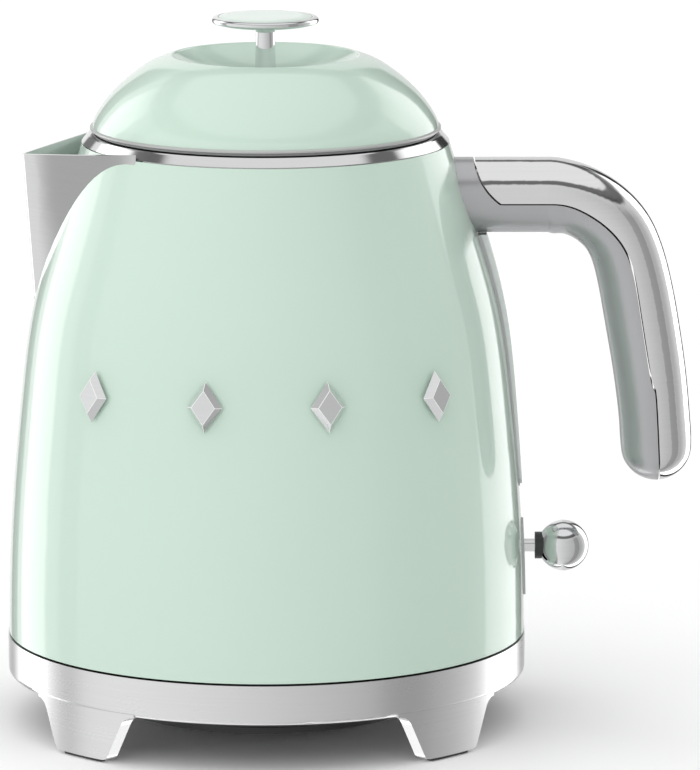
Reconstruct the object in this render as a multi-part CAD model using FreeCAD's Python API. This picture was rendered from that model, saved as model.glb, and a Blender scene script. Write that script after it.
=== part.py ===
"""Cordless electric jug kettle, 0.8 litre, retro style, as separate pieces.

Millimetres. The origin is on the jug's axis, on the worktop. +Z is up, +X points to the handle
and the spout points to -X.
"""
import FreeCAD, Part
import math
import os

V = FreeCAD.Vector
Z_AXIS = V(0, 0, 1)

# ---------------------------------------------------------------- driving dimensions
BASE_R = 77.9            # radius of the power base
BASE_TOP = 26.7          # top edge of the power base
RING_WALL = 2.6
RING_ROUND = 1.6         # rounding of the lower edge
RING_LOW = 14.8          # underside of the ring
FOOT_HALF = 10.6         # half width of a foot on the worktop
FOOT_FLARE = 6.6         # how much wider each side is at the ring
FOOT_DEPTH = 4.2
FOOT_TOE = 1.6           # rounding at the bottom of a foot
FOOT_HEEL = 3.2          # hollow corner where a foot meets the ring
FOOT_ANGLE = 45.5        # of the first foot, from the X axis
PAD_PROUD = 0.8

JOINT_GAP = 0.6          # dark joint between base and jug
BODY_FOOT_R = 77.6       # body radius at its lower edge
BODY_WALL = 1.0
NECK_Z = 175.3           # top of the painted body
NECK_R = 54.8
SHOULDER_Z = 152.0
SHOULDER_R = 62.1
BELLY_Z = 127.0
BELLY_R = 69.4
WAIST_Z = 97.5
WAIST_R = 73.6
SKIRT_Z = 62.5
SKIRT_R = 76.6
LIP_WIDTH = 6.2          # inward lip under the collar
NECK_SLOPE = 0.31        # inward lean at the neck

COLLAR_H = 2.9
COLLAR_LEAN = 2.2
SLEEVE_R = 47.5          # inner radius of the neck
SLEEVE_WALL = 0.9
SLEEVE_DROP = 8.0

SPOUT_TIP_X = 72.5
SPOUT_TIP_Z = 171.5
SPOUT_HEEL_X = 69.3      # where the leading edge meets the body
SPOUT_HEEL_Z = 127.8
SPOUT_HALF = 24.0        # half width where the rim meets the body
SPOUT_ROOT_X = 49.3
SPOUT_RISE = 3.8         # the rim climbs this much from tip to body
SPOUT_NOSE_R = 2.6
SPOUT_BULGE = 1.3
SPOUT_WALL = 0.9
SPOUT_LAND = 3.0         # metal left round the opening in the body

PLATE_Z = 63.2           # underside of the heating plate
PLATE_T = 1.2
SEAL_H = 4.0
SEAL_W = 1.6
ELEMENT_R = 41.0
ELEMENT_TUBE = 3.3

HANDLE_TOP = 170.5
HANDLE_ARM = 22.5        # depth of the arm
HANDLE_TIP = 21.2        # depth at the free end
HANDLE_WIDTH = 22.6       # never less than the depth, so that every section starts at its side
HANDLE_REACH = 117.1     # centre line of the upright limb at its lower end
HANDLE_END_Z = 72.6
HANDLE_WALL = 2.2
SEAM_Z = 157.7           # seam under the arm
SEAM_GAP = 0.4
END_ANGLES = (0, 18, 36, 52, 66, 78, 86)   # sections round the ball-shaped free end, in degrees

LEVER_X = 58.0           # pivot
LEVER_Z = 52.3
ROD_R = 1.95
BALL_X = 89.4
BALL_R = 7.65
SLOT_GAP = 0.45
PIN_R = 1.5
PIN_PLAY = 0.05

WINDOW_LOW = 71.4
WINDOW_GAP = 0.2         # between the window's top and the handle's arm
WINDOW_HALF = 5.2
WINDOW_HIGH = HANDLE_TOP - HANDLE_ARM - WINDOW_GAP
WINDOW_PROUD_LOW = 0.9
WINDOW_PROUD_HIGH = 2.5

LID_GAP = 0.3           # lid flange above the collar
LID_LOW = 180.3
LID_R = 51.6
LID_WALL = 1.2
RIM_R = 28.4
LID_SHOULDER = (44.6, 10.8)   # radius, and height above the lid's edge
LID_CROWN = (36.9, 17.1)
RIM_RISE = 21.0
BOWL_DEPTH = 9.0
CUP_R = 46.0
CUP_WALL = 1.5
CUP_DEPTH = 13.5
KNOB_R = 16.0
KNOB_LOW = 210.2
KNOB_T = 2.6
INSET_R = 14.0
STEM_R = 2.8
STEM_FLARE = 0.4

BOSS_R = 16.0            # connector plug on the base
BOSS_TOP = 36.0
PLUG_PLAY = 0.6
DECK_Z = 25.2
DECK_T = 2.0
GLIDE_W = 4.0
GLIDE_H = 1.5
GLIDE_PLAY = 0.06

STUD_ANGLES = (-42.6, -13.3, 14.9, 43.3)
STUD_Z = 108.0
STUD_HALF_W = 5.4
STUD_HALF_H = 7.6
STUD_PROUD = 1.1

SCREW_R = 1.5
HEAD_R = 3.0
HEAD_H = 1.8

PIECES = {}


# ---------------------------------------------------------------- helpers
def keep(name, shape):
    """Remember a finished piece under its own name."""
    PIECES[name] = shape
    return shape


def cyl(r, z0, z1, x=0.0, y=0.0):
    return Part.makeCylinder(r, z1 - z0, V(x, y, z0))


def tube(r_in, r_out, z0, z1, x=0.0, y=0.0):
    return cyl(r_out, z0, z1, x, y).cut(cyl(r_in, z0 - 1, z1 + 1, x, y))


def block(x0, x1, y0, y1, z0, z1):
    return Part.makeBox(x1 - x0, y1 - y0, z1 - z0, V(x0, y0, z0))


def bar(r, x0, x1, z, y=0.0):
    """A round bar along X."""
    return Part.makeCylinder(r, x1 - x0, V(x0, y, z), V(1, 0, 0))


def cross_bar(r, y0, y1, x, z):
    """A round bar along Y."""
    return Part.makeCylinder(r, y1 - y0, V(x, y0, z), V(0, 1, 0))


def lathe(points, angle=360.0, start=0.0):
    """Revolve a closed (radius, height) polygon about Z."""
    wire = Part.makePolygon([V(r, 0, z) for r, z in points] + [V(points[0][0], 0, points[0][1])])
    face = Part.Face(wire)
    face.rotate(V(0, 0, 0), Z_AXIS, start)
    return face.revolve(V(0, 0, 0), Z_AXIS, angle)


def lathe_edges(edges):
    """Revolve a closed loop of edges in the XZ plane about Z."""
    return Part.Face(Part.Wire(Part.__sortEdges__(edges))).revolve(V(0, 0, 0), Z_AXIS, 360)


def line(a, b):
    return Part.makeLine(V(a[0], 0, a[1]), V(b[0], 0, b[1]))


def spline(points, first=None, last=None):
    """A smooth curve in the XZ plane through (x, z) points."""
    curve = Part.BSplineCurve()
    knots = [V(x, 0, z) for x, z in points]
    if first and last:
        curve.interpolate(Points=knots, InitialTangent=V(first[0], 0, first[1]),
                          FinalTangent=V(last[0], 0, last[1]))
    else:
        curve.interpolate(Points=knots)
    return curve


def fuse(shapes):
    result = shapes[0]
    for shape in shapes[1:]:
        result = result.fuse(shape)
    return result.removeSplitter()


def ring_of(shape, angles):
    """Copies of a shape turned about Z, as separate solids."""
    copies = []
    for angle in angles:
        turned = shape.copy()
        turned.rotate(V(0, 0, 0), Z_AXIS, angle)
        copies.append(turned)
    return Part.makeCompound(copies)


def screw(x, y, z_head, z_tip):
    """A pan-head screw; the head sits at z_head and the point at z_tip."""
    side = 1 if z_head > z_tip else -1
    low_shank, high_shank = sorted((z_head, z_tip))
    low_head, high_head = sorted((z_head, z_head + side * HEAD_H))
    return cyl(SCREW_R, low_shank, high_shank, x, y).fuse(cyl(HEAD_R, low_head, high_head, x, y))


# ---------------------------------------------------------------- body outline
BODY_LOW = BASE_TOP + JOINT_GAP
BODY_POINTS = [(BODY_FOOT_R, BODY_LOW), (SKIRT_R, SKIRT_Z), (WAIST_R, WAIST_Z), (BELLY_R, BELLY_Z),
               (SHOULDER_R, SHOULDER_Z), (NECK_R, NECK_Z)]


def body_curve(offset=0.0):
    """The body's side as a smooth curve, moved outwards by offset."""
    points = [(r + offset, z) for r, z in BODY_POINTS]
    return spline(points, (0, 1), (-NECK_SLOPE, 1))


BODY_SIDE = body_curve()


def body_radius(z):
    """Outer radius of the body at a height."""
    low, high = BODY_SIDE.FirstParameter, BODY_SIDE.LastParameter
    for _ in range(40):
        middle = (low + high) / 2
        if BODY_SIDE.value(middle).z < z:
            low = middle
        else:
            high = middle
    return BODY_SIDE.value(low).x


def body_solid(offset=0.0):
    """Everything inside the body's side, from its foot to its neck."""
    edge = body_curve(offset).toShape()
    low_r, high_r = BODY_FOOT_R + offset, NECK_R + offset
    return lathe_edges([edge, line((high_r, NECK_Z), (0, NECK_Z)), line((0, NECK_Z), (0, BODY_LOW)),
                        line((0, BODY_LOW), (low_r, BODY_LOW))])


# ---------------------------------------------------------------- power base
FOOT_ANGLES = [FOOT_ANGLE + 90 * n for n in range(4)]
RING_IN = BASE_R - RING_WALL
LIP_R = BASE_R - 7.5                   # inner edge of the underside


def foot_outline(r, low, high):
    """The front view of one foot at distance r along +X, running out into the ring above it."""
    slope = math.hypot(FOOT_FLARE, high - low)
    out, up = FOOT_FLARE / slope, (high - low) / slope
    wide = FOOT_HALF + FOOT_FLARE

    def point(y, z, side):
        return V(r, side * y, z)

    edges = []
    for side in (1, -1):
        toe = [point(FOOT_HALF - FOOT_TOE, low, side), point(FOOT_HALF, low, side),
               point(FOOT_HALF + FOOT_TOE * out, low + FOOT_TOE * up, side)]
        heel = [point(wide - FOOT_HEEL * out, high - FOOT_HEEL * up, side), point(wide, high, side),
                point(wide + FOOT_HEEL, high, side)]
        for poles in (toe, heel):
            bend = Part.BezierCurve()
            bend.setPoles(poles)
            edges.append(bend.toShape())
        edges.append(Part.makeLine(toe[2], heel[0]))
        edges.append(Part.makeLine(heel[2], point(wide + FOOT_HEEL, high + 1.0, side)))
    for y, z in ((FOOT_HALF - FOOT_TOE, low), (wide + FOOT_HEEL, high + 1.0)):
        edges.append(Part.makeLine(point(y, z, 1), point(y, z, -1)))
    return Part.Face(Part.Wire(Part.__sortEdges__(edges)))


def base_ring():
    """Round ring and four feet that carry its wall down to the worktop, one casting."""
    k = math.sqrt(0.5)
    mid = (BASE_R - RING_ROUND * (1 - k), RING_LOW + RING_ROUND * (1 - k))
    corner = Part.Arc(V(BASE_R, 0, RING_LOW + RING_ROUND), V(mid[0], 0, mid[1]),
                      V(BASE_R - RING_ROUND, 0, RING_LOW)).toShape()
    ledge = RING_LOW + RING_WALL
    outline = [(BASE_R - RING_ROUND, RING_LOW), (LIP_R, RING_LOW), (LIP_R, ledge), (RING_IN, ledge),
               (RING_IN, BASE_TOP), (BASE_R, BASE_TOP), (BASE_R, RING_LOW + RING_ROUND)]
    ring = lathe_edges([corner] + [line(a, b) for a, b in zip(outline, outline[1:])])
    back = BASE_R - FOOT_DEPTH
    blank = foot_outline(back - 4.0, PAD_PROUD, RING_LOW).extrude(V(FOOT_DEPTH + 6.0, 0, 0))
    blank = blank.common(cyl(BASE_R, 0, BASE_TOP)).cut(cyl(back, -1, BASE_TOP))
    shapes = [ring]
    for angle in FOOT_ANGLES:
        foot = blank.copy()
        foot.rotate(V(0, 0, 0), Z_AXIS, angle)
        shapes.append(foot)
    return fuse(shapes)


PAD_T = 1.8
PAD_IN = BASE_R - FOOT_DEPTH + 0.7
PAD_OUT = BASE_R - 1.0
PAD_HALF = FOOT_HALF - 2.6


def foot_pad(grow=0.0):
    """One rubber pad under the foot on the X axis."""
    pad = block(PAD_IN - grow, PAD_OUT + grow, -PAD_HALF - grow, PAD_HALF + grow, 0, PAD_T)
    uprights = [e for e in pad.Edges if abs(e.Vertexes[0].Z - e.Vertexes[1].Z) > 1]
    return pad.makeFillet(1.0, uprights)


POST_R = 40.0
POST_ANGLES = (20, 110, 200, 290)
COVER_T = 2.2
COVER_R = LIP_R - 0.25
COVER_LOW = RING_LOW - 2.0
COVER_TOP = COVER_LOW + COVER_T
GLAND_Z = (COVER_TOP + DECK_Z - DECK_T) / 2
GLAND_R = (DECK_Z - DECK_T - COVER_TOP) / 2 - 0.15
CORD_R = GLAND_R - 1.2


def make_power_base():
    gland_y = math.sqrt(BASE_R ** 2 - GLAND_R ** 2)
    gland = cross_bar(GLAND_R, LIP_R - 4, gland_y, 0, GLAND_Z).cut(
        cross_bar(CORD_R, 0, BASE_R + 5, 0, GLAND_Z))
    gland_hole = cross_bar(GLAND_R + 0.03, LIP_R - 6, BASE_R + 5, 0, GLAND_Z)
    pads = ring_of(foot_pad(), FOOT_ANGLES)
    pockets = ring_of(foot_pad(0.03), FOOT_ANGLES)
    keep("base_ring", base_ring().cut(gland_hole).cut(pockets))
    keep("foot_pads", pads)
    keep("cord_bush", gland)

    deck_r = RING_IN - 0.15
    rib_r = 62.0
    deck = lathe([(BOSS_R + 0.1, DECK_Z - DECK_T), (deck_r, DECK_Z - DECK_T), (deck_r, DECK_Z),
                  (rib_r + 1.5, DECK_Z), (rib_r + 1.2, DECK_Z + 1.0), (rib_r, DECK_Z + 1.0),
                  (rib_r - 0.3, DECK_Z), (BOSS_R + 0.1, DECK_Z)])
    posts = ring_of(cyl(4.0, COVER_TOP, DECK_Z - DECK_T, POST_R), POST_ANGLES)
    pilots = ring_of(cyl(SCREW_R, COVER_TOP - 1, DECK_Z - DECK_T - 1.5, POST_R), POST_ANGLES)
    keep("base_deck", fuse([deck] + posts.Solids).cut(pilots))

    spool_r, spool_low = 34.0, 5.0
    cover = fuse([tube(BOSS_R - 4, COVER_R, COVER_LOW, COVER_TOP),
                  tube(spool_r, spool_r + 2, spool_low, COVER_LOW),
                  tube(spool_r, spool_r + 12, spool_low, spool_low + 1.8)])
    shanks = ring_of(cyl(SCREW_R + 0.15, COVER_LOW - 1, COVER_TOP + 1, POST_R), POST_ANGLES)
    heads = ring_of(cyl(HEAD_R + 0.2, spool_low - 1, COVER_LOW + 0.6, POST_R), POST_ANGLES)
    keep("base_cover", cover.cut(shanks).cut(heads))
    head_low = COVER_LOW + 0.6
    tip = DECK_Z - DECK_T - 2.0
    keep("base_screws", ring_of(screw(POST_R, 0, head_low, tip), POST_ANGLES))

    boss = lathe([(0, COVER_TOP), (BOSS_R + 4, COVER_TOP), (BOSS_R + 4, DECK_Z - DECK_T),
                  (BOSS_R, DECK_Z - DECK_T), (BOSS_R, BOSS_TOP - 1), (BOSS_R - 1, BOSS_TOP),
                  (0, BOSS_TOP)])
    floor = COVER_TOP + 5
    for r_in, r_out in ((0, 3.4), (6.2, 8.4), (11.0, 13.2)):
        groove = cyl(r_out, floor, BOSS_TOP + 1)
        if r_in:
            groove = groove.cut(cyl(r_in, floor - 1, BOSS_TOP + 2))
        boss = boss.cut(groove)
    keep("connector_plug", boss)
    keep("earth_pin", cyl(2.2, floor, BOSS_TOP - 1.0))
    keep("contact_rings", Part.makeCompound([tube(6.9, 7.7, floor, BOSS_TOP - 3),
                                             tube(11.7, 12.5, floor, BOSS_TOP - 3)]))
    keep("glide_ring", tube(BOSS_R + GLIDE_PLAY, BOSS_R + GLIDE_W, DECK_Z + 0.1,
                            DECK_Z + 0.1 + GLIDE_H))


# ---------------------------------------------------------------- jug
SOCKET_LOW = DECK_Z + 0.1 + GLIDE_H + 0.1
SOCKET_IN = BOSS_R + PLUG_PLAY
SOCKET_OUT = SOCKET_IN + 3.4
SOCKET_TOP = BOSS_TOP + 3.5
UNDER_Z = BODY_LOW + 0.8
UNDER_T = 2.0
LIP_IN = NECK_R - LIP_WIDTH
STUD_RING_R = 58.0                     # pillars under the plate that hold the underside cover
STUD_RING_ANGLES = (45, 135, 225, 315)
OPEN_LOW = SPOUT_HEEL_Z + 8
OPEN_HIGH = 163.0


def spout_profile(inset):
    """The spout's plan shape at the tip height, moved inwards by inset."""
    nose_r = max(SPOUT_NOSE_R - inset, 0.4)
    centre = -SPOUT_TIP_X + SPOUT_NOSE_R + (inset if inset > SPOUT_NOSE_R - 0.4 else 0)
    lean = math.atan2(SPOUT_HALF - SPOUT_NOSE_R * 0.7, SPOUT_TIP_X - SPOUT_NOSE_R - SPOUT_ROOT_X)
    nx, ny = -math.sin(lean), math.cos(lean)
    touch = V(centre + nose_r * nx, nose_r * ny, 0)
    reach = 46.0 / math.cos(lean)
    along = V(math.cos(lean), math.sin(lean), 0)
    far = touch + along * reach
    half_way = touch + along * (reach * 0.33) + V(nx, ny, 0) * SPOUT_BULGE

    def flip(p):
        return V(p.x, -p.y, 0)

    edges = [Part.Arc(touch, V(centre - nose_r, 0, 0), flip(touch)).toShape(),
             Part.Arc(touch, half_way, far).toShape(),
             Part.Arc(flip(touch), flip(half_way), flip(far)).toShape(),
             Part.makeLine(far, flip(far))]
    return Part.Face(Part.Wire(Part.__sortEdges__(edges)))


def spout_prism(inset, low, high):
    """The spout's plan shape run along its leaning front edge."""
    lean = (SPOUT_TIP_X - SPOUT_HEEL_X) / (SPOUT_TIP_Z - SPOUT_HEEL_Z)
    face = spout_profile(inset)
    face.translate(V((SPOUT_TIP_Z - low) * lean, 0, low))
    return face.extrude(V(-(high - low) * lean, 0, high - low))


def make_spout():
    top = SPOUT_TIP_Z + SPOUT_RISE + 4
    outer = spout_prism(0.0, SPOUT_HEEL_Z - 6, top)
    inner = spout_prism(SPOUT_WALL, SPOUT_HEEL_Z - 8, top + 1)
    shell = outer.cut(inner).cut(body_solid()).cut(cyl(NECK_R, NECK_Z - 1, top + 5))
    slope = SPOUT_RISE / (SPOUT_TIP_X - SPOUT_ROOT_X)
    tip_x, root_x = -SPOUT_TIP_X - 10, -20.0
    tip_z = SPOUT_TIP_Z - 10 * slope
    root_z = SPOUT_TIP_Z + (SPOUT_TIP_X + root_x) * slope
    above = Part.Face(Part.makePolygon([V(tip_x, -60, tip_z), V(root_x, -60, root_z),
                                        V(root_x, -60, top + 20), V(tip_x, -60, top + 20),
                                        V(tip_x, -60, tip_z)])).extrude(V(0, 120, 0))
    shell = shell.cut(above).common(block(-90, -30, -40, 40, SPOUT_HEEL_Z - 8, top))
    solids = sorted(shell.Solids, key=lambda s: s.Volume)
    keep("spout", solids[-1])


def shell_patch(outer_offset, inner_offset, low, high, half_angle, middle):
    """A patch that follows the body's side, between two offsets and two angles."""
    edges = [(body_radius(low + (high - low) * n / 4), low + (high - low) * n / 4) for n in range(5)]
    outer = [(r + outer_offset, z) for r, z in edges]
    inner = [(r + inner_offset, z) for r, z in reversed(edges)]
    return lathe(outer + inner, 2 * half_angle, middle - half_angle)


def stadium(half, low, high, x0, x1):
    """A slot with round ends, run along X."""
    return fuse([block(x0, x1, -half, half, low + half, high - half),
                 bar(half, x0, x1, low + half), bar(half, x0, x1, high - half)])


SLOT_HALF = ROD_R + SLOT_GAP
SLOT_LOW = 41.0
SLOT_HIGH = 57.0
HANDLE_SCREWS = (HANDLE_TOP - 17.5, HANDLE_TOP - 6.0)


def make_body():
    inner = body_solid(-BODY_WALL)
    roof = NECK_Z - BODY_WALL
    inner = inner.common(cyl(BASE_R + 5, BODY_LOW - 1, roof))
    shell = body_solid().cut(inner).cut(cyl(LIP_IN, roof - 1, NECK_Z + 1))
    opening = spout_prism(SPOUT_WALL + SPOUT_LAND, OPEN_LOW - 2, OPEN_HIGH + 2).common(
        block(-90, -35, -40, 40, OPEN_LOW, OPEN_HIGH))
    shell = shell.cut(opening)
    shell = shell.cut(stadium(WINDOW_HALF - 1.2, WINDOW_LOW + 3, WINDOW_HIGH - 5, 40, 90))
    shell = shell.cut(stadium(SLOT_HALF + 1, SLOT_LOW - 1, SLOT_HIGH + 1, 60, 90))
    for z in HANDLE_SCREWS:
        shell = shell.cut(bar(SCREW_R + 0.3, 40, 90, z))
    keep("body_shell", shell)

    step = 0.35
    keep("neck_collar", lathe([(NECK_R, NECK_Z + step),
                               (NECK_R - COLLAR_LEAN + 0.3, NECK_Z + COLLAR_H - 0.3),
                               (NECK_R - COLLAR_LEAN, NECK_Z + COLLAR_H), (SLEEVE_R, NECK_Z + COLLAR_H),
                               (SLEEVE_R, NECK_Z - SLEEVE_DROP),
                               (SLEEVE_R + SLEEVE_WALL, NECK_Z - SLEEVE_DROP),
                               (SLEEVE_R + SLEEVE_WALL, NECK_Z), (NECK_R - 1.5, NECK_Z),
                               (NECK_R - 1.5, NECK_Z + step)]))


FILTER_HALF = 17.0
FILTER_LOW = OPEN_LOW - 3.5
FILTER_HIGH = OPEN_HIGH + 3.0
RAIL_START = FILTER_HALF + 2.0
FILTER_LIFT = 6.0


def make_filter():
    low_off, high_off = -BODY_WALL - 2.2, -BODY_WALL - 0.6
    frame = shell_patch(high_off, low_off, FILTER_LOW, FILTER_HIGH, FILTER_HALF, 180)
    hole = shell_patch(high_off + 1, low_off - 1, FILTER_LOW + 2.5, FILTER_HIGH - 2.5,
                       FILTER_HALF - 2.5, 180)
    keep("filter_frame", frame.cut(hole))
    middle = (low_off + high_off) / 2
    keep("filter_mesh", shell_patch(middle + 0.2, middle - 0.2, FILTER_LOW + 2.5, FILTER_HIGH - 2.5,
                                    FILTER_HALF - 2.5, 180))
    rails = []
    low, high = FILTER_LOW - 1.0, FILTER_HIGH + 0.5
    for side in (-1, 1):
        middle = 180 + side * (RAIL_START + 0.9)
        wall = shell_patch(-BODY_WALL - 0.1, -BODY_WALL - 3.8, low, high, 0.9, middle)
        lip = shell_patch(-BODY_WALL - 3.0, -BODY_WALL - 3.8, low, high, 1.6,
                          180 + side * (RAIL_START - 1.6))
        rails.append(fuse([wall, lip]))
    sill = shell_patch(-BODY_WALL - 0.1, -BODY_WALL - 3.8, low - 1.2, low + 0.6, RAIL_START + 1.8, 180)
    keep("filter_rails", fuse(rails + [sill]))


STEAM_R = 52.0
STEAM_ANGLE = math.radians(25)
STEAM_X = STEAM_R * math.cos(STEAM_ANGLE)
STEAM_Y = STEAM_R * math.sin(STEAM_ANGLE)
STEAM_TUBE_R = 3.4
STEAM_TOP = 156.0
SPREADER_T = 2.0
HOUSING_TOP = 52.0
HOUSING_LOW = 34.0


def make_heater():
    seal_r = body_radius(PLATE_Z + SEAL_H / 2) - BODY_WALL - 0.05
    seal_low = PLATE_Z + PLATE_T / 2 - SEAL_H / 2
    seal_high = seal_low + SEAL_H
    plate_r = seal_r - SEAL_W
    keep("plate_seal", lathe([(seal_r, seal_low), (seal_r, seal_high), (plate_r, seal_high),
                              (plate_r, seal_low)]))
    grommet_r = STEAM_TUBE_R + 1.6
    plate = cyl(plate_r, PLATE_Z, PLATE_Z + PLATE_T).cut(
        cyl(grommet_r, PLATE_Z - 1, PLATE_Z + PLATE_T + 1, STEAM_X, STEAM_Y))
    studs = ring_of(cyl(3.6, UNDER_Z + UNDER_T, PLATE_Z, STUD_RING_R), STUD_RING_ANGLES)
    threads = ring_of(cyl(SCREW_R, UNDER_Z, UNDER_Z + UNDER_T + 12, STUD_RING_R), STUD_RING_ANGLES)
    keep("heating_plate", fuse([plate] + studs.Solids).cut(threads))
    keep("steam_grommet", tube(STEAM_TUBE_R, grommet_r, PLATE_Z - 1.5, PLATE_Z + PLATE_T + 1.5,
                               STEAM_X, STEAM_Y))
    keep("heat_spreader", cyl(STEAM_R - grommet_r - 1, PLATE_Z - SPREADER_T, PLATE_Z))
    element_z = PLATE_Z - SPREADER_T - ELEMENT_TUBE
    element = Part.makeTorus(ELEMENT_R, ELEMENT_TUBE, V(0, 0, element_z), Z_AXIS, 0, 360, 300)
    element.rotate(V(0, 0, 0), Z_AXIS, 30)
    tails = []
    for angle in (30, 330):
        x = ELEMENT_R * math.cos(math.radians(angle))
        y = ELEMENT_R * math.sin(math.radians(angle))
        tails.append(cyl(ELEMENT_TUBE * 0.6, HOUSING_TOP + 0.4, element_z, x, y))
    keep("heating_element", element.fuse(tails[0]).fuse(tails[1]))
    keep("steam_tube", tube(STEAM_TUBE_R - 0.5, STEAM_TUBE_R, HOUSING_TOP - 4, STEAM_TOP,
                            STEAM_X, STEAM_Y))


EAR_IN = 3.7
EAR_OUT = 6.2


def make_switch():
    spreader_low = PLATE_Z - SPREADER_T
    housing = block(23.5, 51.0, -15, STEAM_Y + 8, HOUSING_LOW, HOUSING_TOP)
    ears = [block(49.0, 62.0, side * EAR_IN if side > 0 else -EAR_OUT,
                  side * EAR_OUT if side > 0 else -EAR_IN, 44.0, LEVER_Z + 4.5) for side in (-1, 1)]
    pillars = [cyl(3.0, HOUSING_TOP - 1, spreader_low, 28, y) for y in (-10, 12)]
    housing = fuse([housing] + ears + pillars)
    housing = housing.cut(cyl(STEAM_TUBE_R, HOUSING_TOP - 4, HOUSING_TOP + 1, STEAM_X, STEAM_Y))
    pocket_r, pocket_low = 6.6, HOUSING_TOP - 10
    housing = housing.cut(cyl(pocket_r, pocket_low, HOUSING_TOP - 6.5, STEAM_X - 3.6, STEAM_Y))
    housing = housing.cut(cyl(STEAM_TUBE_R - 0.5, HOUSING_TOP - 7, HOUSING_TOP - 3, STEAM_X, STEAM_Y))
    housing = housing.cut(cross_bar(PIN_R, -20, 20, LEVER_X, LEVER_Z))
    for y in (-9.0, -6.0):
        housing = housing.cut(block(22, 27, y - 1.2, y + 1.2, 38, HOUSING_TOP - 4))
    leaf_x = 44.0
    housing = housing.cut(block(leaf_x - 0.5, leaf_x + 0.5, -2.5, 2.5, HOUSING_TOP - 6, HOUSING_TOP + 1))
    keep("switch_housing", housing)
    keep("bimetal_disc", lathe([(0, 0.9), (3, 0.8), (5.6, 0.3), (5.6, 0.0), (3, 0.5), (0, 0.6)]))
    PIECES["bimetal_disc"].translate(V(STEAM_X - 3.6, STEAM_Y, pocket_low))
    keep("switch_contacts", Part.makeCompound([
        fuse([block(24.6, 25.4, y - 1.2, y + 1.2, 38, HOUSING_TOP - 4),
              block(21.5, 25.4, y - 1.2, y + 1.2, 38, 38.8)]) for y in (-9.0, -6.0)]))
    leaf = [block(leaf_x - 0.5, leaf_x + 0.5, -2.5, 2.5, HOUSING_TOP - 6, HOUSING_TOP + 5),
            block(leaf_x - 0.5, leaf_x + 4.4, -2.5, 2.5, HOUSING_TOP + 4.4, HOUSING_TOP + 5)]
    keep("detent_leaf", fuse(leaf))
    keep("lever_pin", cross_bar(PIN_R, -EAR_OUT - 0.6, EAR_OUT + 0.6, LEVER_X, LEVER_Z))


def make_lever():
    hub_half = EAR_IN - 0.3
    hub = cross_bar(4.0, -hub_half, hub_half, LEVER_X, LEVER_Z)
    tongue = block(51.0, LEVER_X, -2.2, 2.2, HOUSING_TOP + 0.5, HOUSING_TOP + 2.6)
    arm = bar(3.0, LEVER_X, 69.0, LEVER_Z)
    arm = fuse([hub, tongue, arm])
    arm = arm.cut(cross_bar(PIN_R + PIN_PLAY, -9, 9, LEVER_X, LEVER_Z))
    arm = arm.cut(bar(ROD_R, 64.0, 70.0, LEVER_Z))
    keep("lever_arm", arm)
    ball = Part.makeSphere(BALL_R, V(BALL_X, 0, LEVER_Z))
    seat = BALL_X - BALL_R + 2.0
    rod = bar(ROD_R, 64.0, seat, LEVER_Z)
    keep("lever_rod", rod)
    keep("lever_ball", ball.cut(bar(ROD_R, 60, seat, LEVER_Z)))
    collar_r = 4.05
    collar = bar(collar_r, seat - 2.9, seat - 0.6, LEVER_Z).cut(ball).cut(bar(ROD_R, 60, 90, LEVER_Z))
    keep("lever_collar", collar.Solids[0])


def make_bottom():
    socket = lathe([(SOCKET_IN, SOCKET_LOW), (SOCKET_OUT, SOCKET_LOW), (SOCKET_OUT, SOCKET_TOP),
                    (0, SOCKET_TOP), (0, BOSS_TOP + 1.5), (SOCKET_IN, BOSS_TOP + 1.5)])
    keep("connector_socket", socket)
    cover_r = body_radius(UNDER_Z + UNDER_T) - BODY_WALL - 0.1
    cover = tube(SOCKET_OUT, cover_r, UNDER_Z, UNDER_Z + UNDER_T)
    rim = tube(cover_r - 2.0, cover_r, UNDER_Z, UNDER_Z + 8)
    rim = rim.common(body_solid(-BODY_WALL - 0.1))
    seat = UNDER_Z + 0.8
    bores = ring_of(cyl(SCREW_R + 0.15, UNDER_Z - 1, UNDER_Z + UNDER_T + 1, STUD_RING_R), STUD_RING_ANGLES)
    heads = ring_of(cyl(HEAD_R + 0.1, UNDER_Z - 2, seat, STUD_RING_R), STUD_RING_ANGLES)
    keep("underside_cover", fuse([cover, rim]).cut(bores).cut(heads))
    tip = UNDER_Z + UNDER_T + 11
    keep("underside_screws", ring_of(screw(STUD_RING_R, 0, seat, tip), STUD_RING_ANGLES))


def window_patch(grow, proud, depth, low, high):
    """A strip that follows the rear of the body and stands further out towards its top."""
    span = WINDOW_HIGH - WINDOW_LOW
    outer, inner = [], []
    for n in range(7):
        z = low + (high - low) * n / 6
        taper = (z - WINDOW_LOW) / span
        lift = WINDOW_PROUD_LOW + (WINDOW_PROUD_HIGH - WINDOW_PROUD_LOW) * taper
        outer.append((body_radius(z) + lift * proud, z))
        inner.append((body_radius(z) - depth, z))
    face = Part.Face(Part.Wire([spline(outer).toShape(), line(outer[-1], inner[-1]),
                                spline(inner[::-1]).toShape(), line(inner[0], outer[0])]))
    face.translate(V(0, -WINDOW_HALF - grow, 0))
    return face.extrude(V(0, 2 * (WINDOW_HALF + grow), 0))


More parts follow.
